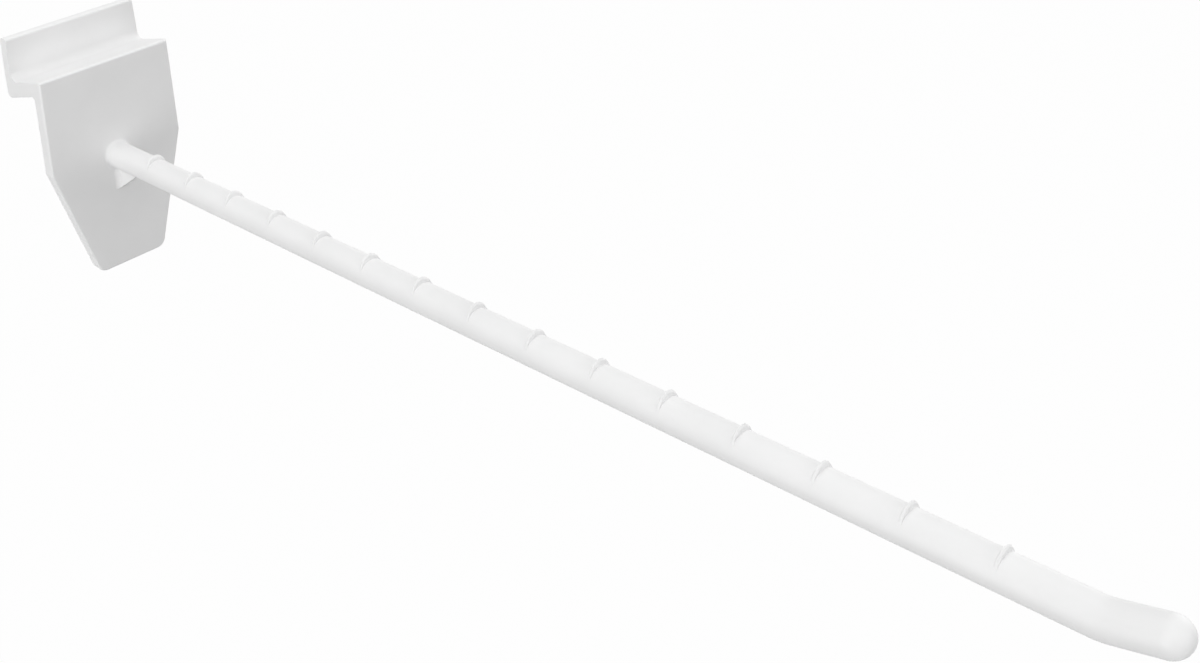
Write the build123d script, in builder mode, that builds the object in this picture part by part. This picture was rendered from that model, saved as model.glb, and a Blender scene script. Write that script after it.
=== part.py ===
from build123d import *
from build123d.topology import SkipClean
from math import cos, radians, sin, tan
import os

# A slatwall display hook, moulded in one piece. All sizes are in millimetres.
# X runs along the wall, +Y points into the wall and +Z is up; the peg points along -Y.
# The origin lies on the back of the face plate, straight behind the root of the peg.

os.makedirs("parts", exist_ok=True)

# Driving sizes
ridge_pitch = 15.0
ridge_count = 15
peg_diameter = 6.35
wall_thickness = 2.9
plate_height = 54.0
plate_top_width = 33.85

# Face plate, seen from the front: nearly straight sides above, a taper below
plate_middle_width = plate_top_width + 1.2
plate_bottom_width = 0.54 * plate_top_width
plate_top = 0.45 * plate_height
plate_middle = plate_top - 0.443 * plate_height
plate_bottom = plate_top - plate_height
plate_front = -wall_thickness
bottom_corner_radius = 4.0
middle_corner_radius = 1.0
plate_edge_radius = 0.5

# Ledge and tongue, seen from the side: the ledge falls towards the wall and the tongue
# stands upright, ready to sit behind the lip of a slat
lip_gap = 9.85
tongue_thickness = 2.4
tongue_rise = 6.0
tongue_width = plate_top_width - 0.6
ledge_fall = 19.0
underside_fall = 20.7
ledge_depth_at_plate = 4.4
tongue_front = lip_gap
tongue_back = tongue_front + tongue_thickness
tongue_top = plate_top + tongue_rise
ledge_at_tongue = plate_top - (tongue_front - plate_front) * tan(radians(ledge_fall))
underside_at_plate = plate_top - ledge_depth_at_plate
underside_at_back = underside_at_plate - tongue_back * tan(radians(underside_fall))
inner_fillet_radius = 1.0
underside_fillet_radius = 1.0
heel_radius = 1.2
tongue_front_edge_radius = 0.5
tongue_back_edge_radius = 1.0

# Peg: straight and slightly rising, with a short tip turned further up and a round end
peg_radius = peg_diameter / 2
peg_rise = 6.0
tip_turn = 15.0
tip_length = 8.7
bend_radius = 10.0
bend_beyond_last_ridge = 15.2
root_fillet_radius = 1.4
root_overlap = 0.5 * wall_thickness

# Ridges: thin rings of even height over the top of the peg, cut off upright at both sides
first_ridge = 1.042 * ridge_pitch
last_ridge = first_ridge + (ridge_count - 1) * ridge_pitch
ridge_height = 0.75
ridge_thickness = 0.65
ridge_edge_slope = 0.22
ridge_side = 0.94 * peg_radius
ridge_foot = 2.4

# Small web under the root of the peg
web_thickness = 1.6
web_fillet_radius = 1.3
web_reach = 9.3
web_depth = 9.0
web_tip = web_reach * tan(radians(peg_rise)) - 0.8 * peg_radius

# The peg's own directions: outwards along its axis, and square to it on its upper side
peg_axis = Vector(0, -cos(radians(peg_rise)), sin(radians(peg_rise)))
tip_axis = Vector(0, -cos(radians(peg_rise + tip_turn)), sin(radians(peg_rise + tip_turn)))
peg_root = Vector(0, plate_front, 0)


def along_peg(distance):
    return peg_root + peg_axis * distance


def peg_plane(distance):
    return Plane(origin=along_peg(distance), x_dir=(1, 0, 0), z_dir=peg_axis)


def corner_at(sketch, across, up):
    return sketch.vertices().sort_by_distance((across, up, 0))[0]


# One ridge: a thin disc with sloped rims, of which only the part over the peg is kept
with BuildPart() as ridge:
    with BuildSketch(Plane.XY.offset(-ridge_thickness / 2)):
        Circle(peg_radius + ridge_height)
    extrude(amount=ridge_thickness)
    chamfer(ridge.edges().filter_by(GeomType.CIRCLE), ridge_edge_slope)
    Box(2 * ridge_side, 2 * peg_radius, 2 * ridge_thickness,
        align=(Align.CENTER, Align.MIN, Align.CENTER), mode=Mode.INTERSECT)

ridge_distances = [first_ridge + number * ridge_pitch for number in range(ridge_count)]

# Plate, ledge and tongue share one side outline, run across the full width
with BuildPart() as slatwall_hook:
    with BuildSketch(Plane.YZ) as side_outline:
        with BuildLine():
            Polyline(
                (plate_front, plate_top),
                (tongue_front, ledge_at_tongue),
                (tongue_front, tongue_top),
                (tongue_back, tongue_top),
                (tongue_back, underside_at_back),
                (0, underside_at_plate),
                (0, plate_bottom),
                (plate_front, plate_bottom),
                close=True,
            )
        make_face()
        fillet(corner_at(side_outline, tongue_front, ledge_at_tongue), inner_fillet_radius)
        fillet(corner_at(side_outline, 0, underside_at_plate), underside_fillet_radius)
        fillet(corner_at(side_outline, tongue_back, underside_at_back), heel_radius)
        fillet(corner_at(side_outline, tongue_front, tongue_top), tongue_front_edge_radius)
        fillet(corner_at(side_outline, tongue_back, tongue_top), tongue_back_edge_radius)
    extrude(amount=plate_middle_width, both=True)

    # The front outline trims the sides of plate, ledge and tongue together
    with BuildSketch(Plane.XZ) as front_outline:
        with BuildLine():
            Polyline(
                (-tongue_width / 2, tongue_top),
                (-plate_top_width / 2, plate_top),
                (-plate_middle_width / 2, plate_middle),
                (-plate_bottom_width / 2, plate_bottom),
                (plate_bottom_width / 2, plate_bottom),
                (plate_middle_width / 2, plate_middle),
                (plate_top_width / 2, plate_top),
                (tongue_width / 2, tongue_top),
                close=True,
            )
        make_face()
        for side in (-1, 1):
            fillet(corner_at(front_outline, side * plate_bottom_width / 2, plate_bottom), bottom_corner_radius)
            fillet(corner_at(front_outline, side * plate_middle_width / 2, plate_middle), middle_corner_radius)
    extrude(amount=2 * tongue_back, both=True, mode=Mode.INTERSECT)

    # Soft edge all round the front of the plate
    fillet(slatwall_hook.faces().sort_by(Axis.Y)[0].edges(), plate_edge_radius)

    # First length of the peg, with a soft flare where it grows out of the plate
    with BuildSketch(peg_plane(-root_overlap)):
        Circle(peg_radius)
    extrude(amount=root_overlap + first_ridge - ridge_foot / 2)
    closed_edges = slatwall_hook.edges().filter_by(lambda edge: edge.is_closed)
    fillet(closed_edges.sort_by_distance(peg_root)[0], root_fillet_radius)

    # Web in the corner between plate and underside of the peg
    with BuildSketch(Plane.YZ) as web_outline:
        with BuildLine():
            Polyline(
                (plate_front + root_overlap, 0),
                (plate_front + root_overlap, -web_depth),
                (plate_front, -web_depth),
                (plate_front - web_reach, web_tip),
                (plate_front - web_reach, 0),
                close=True,
            )
        make_face()
    extrude(amount=web_thickness / 2, both=True)

    # Soft corners where the sides of the web meet the plate
    for side in (-1, 1):
        web_foot = (side * web_thickness / 2, plate_front, -web_depth + 1)
        fillet(slatwall_hook.edges().sort_by_distance(web_foot)[0], web_fillet_radius)

    # Outer end of the peg: from the last ridge round the bend to the round end of the tip
    with BuildLine(Plane.YZ):
        outer_start = along_peg(last_ridge + ridge_foot / 2)
        bend = along_peg(last_ridge + bend_beyond_last_ridge)
        tip = bend + tip_axis * tip_length
        FilletPolyline(
            (outer_start.Y, outer_start.Z),
            (bend.Y, bend.Z),
            (tip.Y, tip.Z),
            radius=bend_radius,
        )
    with BuildSketch(peg_plane(last_ridge + ridge_foot / 2)):
        Circle(peg_radius)
    sweep()
    with Locations(tip):
        Sphere(peg_radius)

    # Plain lengths between the ridges and short ones under them, each with a face of its own
    with SkipClean():
        with BuildSketch(*[peg_plane(place + ridge_foot / 2) for place in ridge_distances[:-1]]):
            Circle(peg_radius)
        extrude(amount=ridge_pitch - ridge_foot, clean=False)
        with BuildSketch(*[peg_plane(place - ridge_foot / 2) for place in ridge_distances]):
            Circle(peg_radius)
        extrude(amount=ridge_foot, clean=False)
        with Locations(*[peg_plane(place) for place in ridge_distances]):
            add(ridge.part, clean=False)

slatwall_hook.part.label = "slatwall_hook"
export_step(slatwall_hook.part, "parts/slatwall_hook.step")
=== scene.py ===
from math import cos, radians, sin, tan

import bpy
from mathutils import Matrix, Vector


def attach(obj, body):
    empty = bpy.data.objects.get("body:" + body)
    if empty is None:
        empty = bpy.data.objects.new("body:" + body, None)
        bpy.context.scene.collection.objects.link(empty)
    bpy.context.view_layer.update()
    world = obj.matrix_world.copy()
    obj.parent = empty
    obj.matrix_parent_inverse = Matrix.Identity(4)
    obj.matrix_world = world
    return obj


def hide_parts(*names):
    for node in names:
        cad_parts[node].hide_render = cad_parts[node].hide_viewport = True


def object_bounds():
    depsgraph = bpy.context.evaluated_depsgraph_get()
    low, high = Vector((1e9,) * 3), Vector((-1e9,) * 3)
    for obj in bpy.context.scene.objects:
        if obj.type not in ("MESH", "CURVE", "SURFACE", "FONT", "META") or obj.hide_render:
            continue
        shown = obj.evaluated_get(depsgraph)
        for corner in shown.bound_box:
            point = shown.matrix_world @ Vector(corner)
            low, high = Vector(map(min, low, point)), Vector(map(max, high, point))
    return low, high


# A white moulded slatwall hook on a plain white ground. Every length is in metres, in the
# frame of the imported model: +Y into the wall, +Z up, the peg along -Y.

# Camera, fitted to the photograph
IMAGE_WIDTH = 1200
IMAGE_HEIGHT = 663
CAMERA_PLACE = Vector((-0.15684, -0.28017, 0.17161))
CAMERA_HEADING = radians(45.64)
CAMERA_DOWN = radians(34.15)
CAMERA_ROLL = radians(0.83)
FOCAL_PIXELS = 1476
PRINCIPAL_POINT = (490.5, 285)
SENSOR_WIDTH = 36
NEAREST_SEEN = 0.005
FARTHEST_SEEN = 20

# Plate, ledge and tongue, as in the model
WALL = 0.0029
PLATE_HEIGHT = 0.054
PLATE_TOP_WIDTH = 0.03385
PLATE_MIDDLE_WIDTH = PLATE_TOP_WIDTH + 0.0012
PLATE_BOTTOM_WIDTH = 0.54 * PLATE_TOP_WIDTH
PLATE_TOP = 0.45 * PLATE_HEIGHT
PLATE_MIDDLE = PLATE_TOP - 0.443 * PLATE_HEIGHT
PLATE_BOTTOM = PLATE_TOP - PLATE_HEIGHT
PLATE_FRONT = -WALL
LIP_GAP = 0.00985
LEDGE_FALL = radians(19)
CREASE = Vector((0, LIP_GAP, PLATE_TOP - (LIP_GAP + WALL) * tan(LEDGE_FALL)))

# Peg and ridges, as in the model
PEG_RADIUS = 0.003175
PEG_RISE = radians(6)
PEG_ROOT = Vector((0, PLATE_FRONT, 0))
PEG_AXIS = Vector((0, -cos(PEG_RISE), sin(PEG_RISE)))
PEG_UP = Vector((0, sin(PEG_RISE), cos(PEG_RISE)))
RIDGE_PITCH = 0.015
RIDGE_COUNT = 15
FIRST_RIDGE = 1.042 * RIDGE_PITCH

# Sizes that the model has, and those that the photograph shows in their place
MODEL_RIDGE_HEIGHT = 0.00075
RIDGE_HEIGHT = 0.0012
MODEL_ROOT_FLARE = 0.0014
ROOT_FLARE = 0.0007
MODEL_CORNER_RADIUS = 0.004
CORNER_RADIUS = 0.0025
MODEL_CREASE_RADIUS = 0.001
CREASE_RADIUS = 0.0018

# A ridge is highest over the peg and falls to its least share of height at its end angle.
# The first ridge is shifted outwards, and each one after it a little less.
RIDGE_END = radians(54)
RIDGE_FALL = 1.4
RIDGE_LEAST = 0.1
RIDGE_SHIFT = 0.00095
RIDGE_CLOSING = 0.000045

# Under the peg, where the web is, the flare keeps the model's size
ROOT_KEPT_FROM = 0.4
ROOT_KEPT_WHOLE = 0.85

# How far the points of a form lie from its middle, and how far a point may be off a face
RIDGE_ZONE = 0.0004
ROOT_ZONE = 0.0018
CREASE_ZONE = 1.6 * MODEL_CREASE_RADIUS
SLACK = 0.00005
ANGLE_SLACK = radians(0.1)

# Plastic
PLASTIC_COLOUR = (0.86, 0.86, 0.86)
CLOUD_SHADE = 0.975
CLOUD_SIZE = 0.014
CLOUD_DETAIL = 3
CLOUD_BETWEEN = (0.35, 0.65)
LEAST_ROUGHNESS = 0.37
MOST_ROUGHNESS = 0.49
SPECULAR = 0.45
SUBSURFACE_WEIGHT = 0.12
SUBSURFACE_REACH = 0.0018
GRAIN_SIZE = 0.00045
GRAIN_DETAIL = 4
GRAIN_ROUGHNESS = 0.6
GRAIN_STRENGTH = 0.12
GRAIN_DEPTH = 0.00004

# Light. Each soft box has its place from the middle of the hook, its width and its power
WORLD_STRENGTH = 0.464
TOP_LAMP = (0.25, 0.20, 0.9), 0.8, 3.43
FRONT_LAMP = (0.1, -0.9, 0.35), 0.7, 2.25
LEFT_LAMP = (-0.9, -0.05, -0.05), 0.7, 3.93
HIGH_LEFT_LAMP = (-0.65, -0.1, 0.65), 0.6, 1.21
RIGHT_LAMP = (0.9, -0.1, 0.3), 0.6, 1.81

# Ground
FLOOR_DROP = 0.35
FLOOR_SIZE = 6.0
FLOOR_MIDDLE = (0, -0.13)
FLOOR_COLOUR = (0.35, 0.35, 0.35, 1)
GROUND_WHITE = 0.985


def node(tree, kind, **values):
    made = tree.nodes.new(kind)
    for name, value in values.items():
        made.inputs[name.replace("_", " ")].default_value = value
    return made


def plastic_material():
    """White moulded plastic: faint cloudiness in the colour, a satin skin with a fine grain."""
    material = bpy.data.materials.new("white_plastic")
    material.use_nodes = True
    tree = material.node_tree
    shader = tree.nodes["Principled BSDF"]
    shader.inputs["Specular IOR Level"].default_value = SPECULAR
    shader.inputs["Subsurface Weight"].default_value = SUBSURFACE_WEIGHT
    shader.inputs["Subsurface Radius"].default_value = [SUBSURFACE_REACH] * 3
    shader.inputs["Subsurface Scale"].default_value = 1.0
    place = tree.nodes.new("ShaderNodeTexCoord")

    clouds = node(tree, "ShaderNodeTexNoise", Scale=1 / CLOUD_SIZE, Detail=CLOUD_DETAIL)
    tree.links.new(place.outputs["Object"], clouds.inputs["Vector"])
    tint = tree.nodes.new("ShaderNodeValToRGB")
    for stop, position, shade in zip(tint.color_ramp.elements, CLOUD_BETWEEN, (CLOUD_SHADE, 1)):
        stop.position = position
        stop.color = [shade * channel for channel in PLASTIC_COLOUR] + [1]
    tree.links.new(clouds.outputs["Fac"], tint.inputs["Fac"])
    tree.links.new(tint.outputs["Color"], shader.inputs["Base Color"])

    grain = node(tree, "ShaderNodeTexNoise", Scale=1 / GRAIN_SIZE, Detail=GRAIN_DETAIL,
                 Roughness=GRAIN_ROUGHNESS)
    tree.links.new(place.outputs["Object"], grain.inputs["Vector"])
    gloss = node(tree, "ShaderNodeMapRange", To_Min=LEAST_ROUGHNESS, To_Max=MOST_ROUGHNESS)
    tree.links.new(grain.outputs["Fac"], gloss.inputs["Value"])
    tree.links.new(gloss.outputs["Result"], shader.inputs["Roughness"])

    bump = node(tree, "ShaderNodeBump", Strength=GRAIN_STRENGTH, Distance=GRAIN_DEPTH)
    tree.links.new(grain.outputs["Fac"], bump.inputs["Height"])
    tree.links.new(bump.outputs["Normal"], shader.inputs["Normal"])
    return material


def on_peg(point):
    """How far along the peg a point lies, how far from its middle line, and which way from there."""
    from_root = point - PEG_ROOT
    along = from_root.dot(PEG_AXIS)
    outwards = from_root - PEG_AXIS * along
    return along, outwards.length, outwards


def ridge_share(outwards):
    """Share of the ridge's full height: one on top of the peg, falling off to both sides."""
    above_end = (outwards.normalized().dot(PEG_UP) - cos(RIDGE_END)) / (1 - cos(RIDGE_END))
    return max(RIDGE_LEAST, max(above_end, 0) ** RIDGE_FALL)


def nearest_ridge(along):
    """The number of the ridge nearest to a place along the peg, and how far off the ridge is."""
    number = min(max(round((along - FIRST_RIDGE) / RIDGE_PITCH), 0), RIDGE_COUNT - 1)
    return number, abs(along - FIRST_RIDGE - number * RIDGE_PITCH)


def on_ridge(point):
    along, out, outwards = on_peg(point)
    return out < 2 * PEG_RADIUS and nearest_ridge(along)[1] < RIDGE_ZONE


def crescent_ridge(point):
    """The point moved to make a ridge that is high over the peg and dies away at its sides."""
    along, out, outwards = on_peg(point)
    grown = ridge_share(outwards) * RIDGE_HEIGHT / MODEL_RIDGE_HEIGHT
    new_out = PEG_RADIUS + (out - PEG_RADIUS) * grown
    new_along = along + RIDGE_SHIFT - RIDGE_CLOSING * nearest_ridge(along)[0]
    return PEG_ROOT + PEG_AXIS * new_along + outwards.normalized() * new_out


def crescent_normal(point, normal):
    """The surface direction that goes with the moved point."""
    along, out, outwards = on_peg(point)
    radial = outwards.normalized()
    tangent = PEG_AXIS.cross(radial)
    share = ridge_share(outwards)
    grown = share * RIDGE_HEIGHT / MODEL_RIDGE_HEIGHT
    turning = 0.0
    if share > RIDGE_LEAST:
        steepness = RIDGE_FALL * share ** (1 - 1 / RIDGE_FALL)
        turning = steepness * tangent.dot(PEG_UP) / (1 - cos(RIDGE_END))
        turning *= RIDGE_HEIGHT / MODEL_RIDGE_HEIGHT
    new_out = PEG_RADIUS + (out - PEG_RADIUS) * grown
    radial_part = normal.dot(radial) / grown
    tangent_part = (out * normal.dot(tangent) - radial_part * turning * (out - PEG_RADIUS)) / new_out
    turned = PEG_AXIS * normal.dot(PEG_AXIS) + radial * radial_part + tangent * tangent_part
    return turned.normalized()


def on_root(point):
    before_plate = PLATE_FRONT - point.y
    beside_peg = on_peg(point)[1] - PEG_RADIUS
    return -SLACK < before_plate < ROOT_ZONE and -SLACK < beside_peg < ROOT_ZONE


def tight_root(point):
    """The point moved towards the corner of peg and plate, which makes the flare smaller."""
    outwards = on_peg(point)[2]
    corner = PEG_ROOT + outwards.normalized() * PEG_RADIUS
    corner += PEG_AXIS * ((PLATE_FRONT - corner.y) / PEG_AXIS.y)
    below = -outwards.normalized().dot(PEG_UP)
    kept = min(max((below - ROOT_KEPT_FROM) / (ROOT_KEPT_WHOLE - ROOT_KEPT_FROM), 0), 1)
    size = ROOT_FLARE / MODEL_ROOT_FLARE
    return corner + (point - corner) * (size + (1 - size) * kept)


def tight_corner(point):
    """The point moved where it lies on a bottom corner of the plate, to give that a smaller radius."""
    side = 1 if point.x > 0 else -1
    tip = Vector((side * PLATE_BOTTOM_WIDTH / 2, 0, PLATE_BOTTOM))
    shoulder = Vector((side * PLATE_MIDDLE_WIDTH / 2, 0, PLATE_MIDDLE))
    inwards = Vector((-side, 0, 0)).lerp((shoulder - tip).normalized(), 0.5).normalized()
    half_opening = inwards.angle(shoulder - tip)
    middle = tip + inwards * MODEL_CORNER_RADIUS / sin(half_opening)
    spoke = Vector((point.x - middle.x, 0, point.z - middle.z))
    half_arc = radians(90) - half_opening
    if spoke.length < MODEL_CORNER_RADIUS / 2 or spoke.angle(-inwards) > half_arc + ANGLE_SLACK:
        return point
    rim = middle + spoke.normalized() * MODEL_CORNER_RADIUS
    moved = tip + (rim - tip) * CORNER_RADIUS / MODEL_CORNER_RADIUS - rim
    return point + moved


def in_crease(point):
    across = Vector((0, point.y, point.z)) - CREASE
    return point.y < LIP_GAP + SLACK and across.length < CREASE_ZONE


def soft_crease(point):
    """The point moved away from the corner of ledge and tongue, which makes the fillet larger."""
    away = Vector((0, point.y, point.z)) - CREASE
    return point + away * (CREASE_RADIUS / MODEL_CREASE_RADIUS - 1)


def shown_place(point):
    """Where a point of the model lies on the hook that the photograph shows."""
    if on_ridge(point):
        return crescent_ridge(point)
    if on_root(point):
        return tight_root(point)
    if in_crease(point):
        return soft_crease(point)
    if point.z < PLATE_MIDDLE:
        return tight_corner(point)
    return point


def hook_shape(hook):
    """The hook with the ridges, root, crease and bottom corners that the photograph shows.
    All else stays as it is in the model."""
    mesh = hook.data.copy()
    normals = [corner.vector.copy() for corner in mesh.corner_normals]
    places = [vertex.co.copy() for vertex in mesh.vertices]
    for loop in mesh.loops:
        place = places[loop.vertex_index]
        if on_ridge(place):
            normals[loop.index] = crescent_normal(place, normals[loop.index])
    for vertex, place in zip(mesh.vertices, places):
        vertex.co = shown_place(place)
    mesh.normals_split_custom_set(normals)
    piece = bpy.data.objects.new("moulded_hook", mesh)
    bpy.context.scene.collection.objects.link(piece)
    mesh.materials.clear()
    mesh.materials.append(plastic_material())
    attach(piece, "root")
    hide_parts("slatwall_hook")


def seen_or_reflected(tree):
    """One for what the camera sees, also in a reflection or through glass, and nought for other light."""
    path = tree.nodes.new("ShaderNodeLightPath")
    total = path.outputs["Is Camera Ray"]
    for kind in ("Is Glossy Ray", "Is Transmission Ray"):
        either = tree.nodes.new("ShaderNodeMath")
        either.operation = "MAXIMUM"
        tree.links.new(total, either.inputs[0])
        tree.links.new(path.outputs[kind], either.inputs[1])
        total = either.outputs[0]
    return total


def seen_white(tree, surface_output, plain_shader, white):
    """Shows mostly plain white to the camera and to reflections, and the plain shader to all else."""
    share = tree.nodes.new("ShaderNodeMath")
    share.operation = "MULTIPLY"
    share.inputs[1].default_value = white
    tree.links.new(seen_or_reflected(tree), share.inputs[0])
    glow = tree.nodes.new("ShaderNodeEmission")
    glow.inputs["Strength"].default_value = 1.0
    mix = tree.nodes.new("ShaderNodeMixShader")
    tree.links.new(share.outputs[0], mix.inputs[0])
    tree.links.new(plain_shader.outputs[0], mix.inputs[1])
    tree.links.new(glow.outputs[0], mix.inputs[2])
    tree.links.new(mix.outputs[0], surface_output.inputs["Surface"])


def make_floor(level):
    """A wide pale floor under the hook."""
    bpy.ops.mesh.primitive_plane_add(size=FLOOR_SIZE, location=(*FLOOR_MIDDLE, level))
    floor = bpy.context.object
    floor.name = "floor"
    material = bpy.data.materials.new("pale_floor")
    material.use_nodes = True
    tree = material.node_tree
    tree.nodes.clear()
    output = tree.nodes.new("ShaderNodeOutputMaterial")
    matt = node(tree, "ShaderNodeBsdfDiffuse", Color=FLOOR_COLOUR)
    seen_white(tree, output, matt, GROUND_WHITE)
    floor.data.materials.append(material)


def make_world():
    """Even studio light from all round, white where the camera sees it."""
    world = bpy.data.worlds.new("studio")
    bpy.context.scene.world = world
    world.use_nodes = True
    tree = world.node_tree
    tree.nodes.clear()
    output = tree.nodes.new("ShaderNodeOutputWorld")
    level = node(tree, "ShaderNodeMapRange", To_Min=WORLD_STRENGTH, To_Max=1.0)
    tree.links.new(seen_or_reflected(tree), level.inputs["Value"])
    sky = tree.nodes.new("ShaderNodeBackground")
    sky.inputs["Color"].default_value = (1, 1, 1, 1)
    tree.links.new(level.outputs["Result"], sky.inputs["Strength"])
    tree.links.new(sky.outputs[0], output.inputs["Surface"])


def make_lamp(name, aim, from_aim, width, power):
    """A square soft box that faces a point from some way off."""
    data = bpy.data.lights.new(name, "AREA")
    data.shape = "SQUARE"
    data.size = width
    data.energy = power
    lamp = bpy.data.objects.new(name, data)
    bpy.context.scene.collection.objects.link(lamp)
    place = aim + Vector(from_aim)
    lamp.location = place
    lamp.rotation_mode = "QUATERNION"
    lamp.rotation_quaternion = (aim - place).to_track_quat("-Z", "Y")


def make_camera():
    """The photograph's camera. A level camera is turned to its heading, tipped down and rolled."""
    forward = Vector((sin(CAMERA_HEADING) * cos(CAMERA_DOWN),
                      cos(CAMERA_HEADING) * cos(CAMERA_DOWN),
                      -sin(CAMERA_DOWN)))
    level_right = Vector((cos(CAMERA_HEADING), -sin(CAMERA_HEADING), 0))
    level_up = level_right.cross(forward)
    right = level_right * cos(CAMERA_ROLL) + level_up * sin(CAMERA_ROLL)
    up = level_up * cos(CAMERA_ROLL) - level_right * sin(CAMERA_ROLL)
    data = bpy.data.cameras.new("camera")
    data.sensor_width = SENSOR_WIDTH
    data.sensor_fit = "HORIZONTAL"
    data.lens = SENSOR_WIDTH * FOCAL_PIXELS / IMAGE_WIDTH
    data.shift_x = (IMAGE_WIDTH / 2 - PRINCIPAL_POINT[0]) / IMAGE_WIDTH
    data.shift_y = (PRINCIPAL_POINT[1] - IMAGE_HEIGHT / 2) / IMAGE_WIDTH
    data.clip_start = NEAREST_SEEN
    data.clip_end = FARTHEST_SEEN
    camera = bpy.data.objects.new("camera", data)
    bpy.context.scene.collection.objects.link(camera)
    turn = Matrix((right, up, -forward)).transposed()
    camera.matrix_world = Matrix.Translation(CAMERA_PLACE) @ turn.to_4x4()
    bpy.context.scene.camera = camera


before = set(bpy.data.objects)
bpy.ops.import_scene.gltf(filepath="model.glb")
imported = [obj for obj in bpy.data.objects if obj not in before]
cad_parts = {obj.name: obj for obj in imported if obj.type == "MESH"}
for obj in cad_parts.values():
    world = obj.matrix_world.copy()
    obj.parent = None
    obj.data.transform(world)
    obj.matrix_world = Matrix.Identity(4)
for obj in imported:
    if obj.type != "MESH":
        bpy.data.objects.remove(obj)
cad_low, cad_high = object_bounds()
bpy.context.scene.view_settings.view_transform = "Standard"

hook_shape(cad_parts["slatwall_hook"])

make_camera()
make_world()
make_floor(cad_low.z - FLOOR_DROP)
middle = (cad_low + cad_high) / 2
make_lamp("top_lamp", middle, *TOP_LAMP)
make_lamp("front_lamp", middle, *FRONT_LAMP)
make_lamp("left_lamp", middle, *LEFT_LAMP)
make_lamp("high_left_lamp", middle, *HIGH_LEFT_LAMP)
make_lamp("right_lamp", middle, *RIGHT_LAMP)
